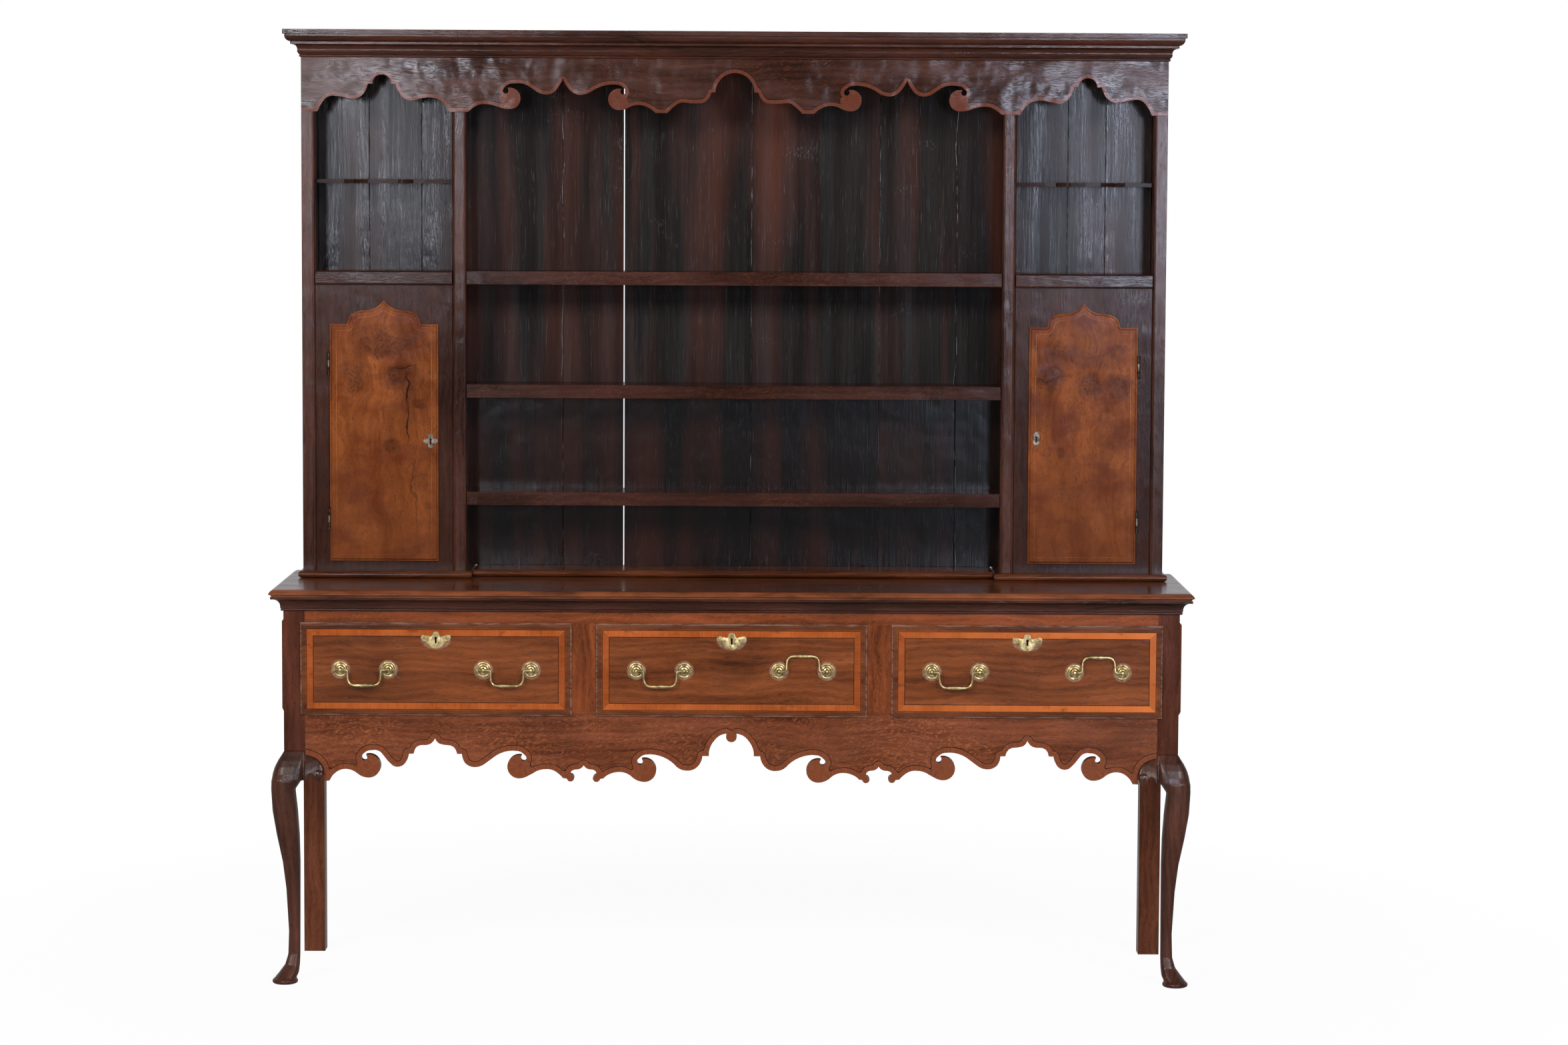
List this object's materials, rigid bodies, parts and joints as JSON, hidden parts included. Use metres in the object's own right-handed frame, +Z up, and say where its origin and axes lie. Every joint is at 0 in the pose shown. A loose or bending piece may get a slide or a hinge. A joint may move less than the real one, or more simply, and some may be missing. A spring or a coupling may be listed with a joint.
{
  "type": "dresser",
  "caption": "Oak dresser: lipped drawers over a scrolled apron on cabriole legs, with a plate rack above whose open shelves stand between small cupboards and spice niches",
  "frame": {"origin": "middle of the footprint on the floor, halfway across the width and the depth", "axes": "+Z up, +X to the right as seen from the front, the drawers and doors face -Y; the row is upright"},
  "size_m": [1.96, 0.446, 2.036],
  "materials": {
    "oak": "waxed dark oak",
    "oak_apron": "waxed dark oak with crossbanding along its edge",
    "oak_drawer": "waxed figured oak",
    "oak_door": "waxed burr oak",
    "oak_moulding": "dark waxed moulding",
    "backboards": "dark waxed boards",
    "secondary_oak": "unpolished oak",
    "crossbanding": "polished crossbanding",
    "brass": "old polished brass",
    "iron": "dull iron"
  },
  "bodies": {
    "carcass": {"base_top": "oak", "rack_uprights": "oak", "upright_facings": "oak", "long_shelves": "oak", "cupboard_frames": "oak", "cupboard_tops": "oak", "frieze": "oak", "spice_shelves": "oak", "soles": "oak", "bottom_board": "oak", "front_frame": "oak", "front_leg_left": "oak_apron", "front_leg_right": "oak_apron", "knee_brackets": "oak_apron", "apron": "oak_apron", "base_top_moulding": "oak_moulding", "cornice": "oak_moulding", "back_legs": "oak", "base_sides": "oak", "side_panels": "oak", "base_back": "secondary_oak", "drawer_supports": "secondary_oak", "rack_top": "secondary_oak", "inner_shelves": "secondary_oak", "rack_backs": "backboards", "frame_hinges": "brass"},
    "drawer_left": {"drawer_left_front": "oak_drawer", "drawer_left_banding": "crossbanding", "drawer_left_box": "secondary_oak", "drawer_left_brass": "brass", "drawer_left_lock": "iron"},
    "drawer_left_bolt": {"drawer_left_bolt": "iron"},
    "drawer_left_bail_left": {"drawer_left_bail_left": "brass"},
    "drawer_left_bail_right": {"drawer_left_bail_right": "brass"},
    "drawer_centre": {"drawer_centre_front": "oak_drawer", "drawer_centre_banding": "crossbanding", "drawer_centre_box": "secondary_oak", "drawer_centre_brass": "brass", "drawer_centre_lock": "iron"},
    "drawer_centre_bolt": {"drawer_centre_bolt": "iron"},
    "drawer_centre_bail_left": {"drawer_centre_bail_left": "brass"},
    "drawer_centre_bail_right": {"drawer_centre_bail_right": "brass"},
    "drawer_right": {"drawer_right_front": "oak_drawer", "drawer_right_banding": "crossbanding", "drawer_right_box": "secondary_oak", "drawer_right_brass": "brass", "drawer_right_lock": "iron"},
    "drawer_right_bolt": {"drawer_right_bolt": "iron"},
    "drawer_right_bail_left": {"drawer_right_bail_left": "brass"},
    "drawer_right_bail_right": {"drawer_right_bail_right": "brass"},
    "door_left": {"door_left": "oak_door", "door_left_brass": "brass"},
    "door_left_bolt": {"door_left_bolt": "iron"},
    "door_right": {"door_right": "oak_door", "door_right_brass": "brass"},
    "door_right_bolt": {"door_right_bolt": "iron"}
  },
  "joints": [
    {"name": "drawer_left_slide", "type": "slide", "parent": "carcass", "child": "drawer_left", "axis": [0, -1, 0], "range_m": [0, 0.28]},
    {"name": "drawer_left_bolt_slide", "type": "slide", "parent": "drawer_left", "child": "drawer_left_bolt", "axis": [0, 0, 1], "range_m": [0, 0.008]},
    {"name": "drawer_left_bail_left_hinge", "type": "hinge", "parent": "drawer_left", "child": "drawer_left_bail_left", "pos_m": [-0.7795, -0.208, 0.6775], "axis": [-1, 0, 0], "range_deg": [-10, 192]},
    {"name": "drawer_left_bail_right_hinge", "type": "hinge", "parent": "drawer_left", "child": "drawer_left_bail_right", "pos_m": [-0.4765, -0.208, 0.6775], "axis": [-1, 0, 0], "range_deg": [-10, 192]},
    {"name": "drawer_centre_slide", "type": "slide", "parent": "carcass", "child": "drawer_centre", "axis": [0, -1, 0], "range_m": [0, 0.28]},
    {"name": "drawer_centre_bolt_slide", "type": "slide", "parent": "drawer_centre", "child": "drawer_centre_bolt", "axis": [0, 0, 1], "range_m": [0, 0.008]},
    {"name": "drawer_centre_bail_left_hinge", "type": "hinge", "parent": "drawer_centre", "child": "drawer_centre_bail_left", "pos_m": [-0.1515, -0.208, 0.6775], "axis": [-1, 0, 0], "range_deg": [-10, 192]},
    {"name": "drawer_centre_bail_right_hinge", "type": "hinge", "parent": "drawer_centre", "child": "drawer_centre_bail_right", "pos_m": [0.1515, -0.208, 0.6775], "axis": [-1, 0, 0], "range_deg": [-202, 0]},
    {"name": "drawer_right_slide", "type": "slide", "parent": "carcass", "child": "drawer_right", "axis": [0, -1, 0], "range_m": [0, 0.28]},
    {"name": "drawer_right_bolt_slide", "type": "slide", "parent": "drawer_right", "child": "drawer_right_bolt", "axis": [0, 0, 1], "range_m": [0, 0.008]},
    {"name": "drawer_right_bail_left_hinge", "type": "hinge", "parent": "drawer_right", "child": "drawer_right_bail_left", "pos_m": [0.4765, -0.208, 0.6775], "axis": [-1, 0, 0], "range_deg": [-10, 192]},
    {"name": "drawer_right_bail_right_hinge", "type": "hinge", "parent": "drawer_right", "child": "drawer_right_bail_right", "pos_m": [0.7795, -0.208, 0.6775], "axis": [-1, 0, 0], "range_deg": [-202, 0]},
    {"name": "door_left_hinge", "type": "hinge", "parent": "carcass", "child": "door_left", "pos_m": [-0.8815, 0.0685, 1.1015], "axis": [0, 0, -1], "range_deg": [0, 110]},
    {"name": "door_left_bolt_slide", "type": "slide", "parent": "door_left", "child": "door_left_bolt", "axis": [1, 0, 0], "range_m": [0, 0.007]},
    {"name": "door_right_hinge", "type": "hinge", "parent": "carcass", "child": "door_right", "pos_m": [0.8815, 0.0685, 1.1015], "axis": [0, 0, 1], "range_deg": [0, 110]},
    {"name": "door_right_bolt_slide", "type": "slide", "parent": "door_right", "child": "door_right_bolt", "axis": [-1, 0, 0], "range_m": [0, 0.007]}
  ]
}
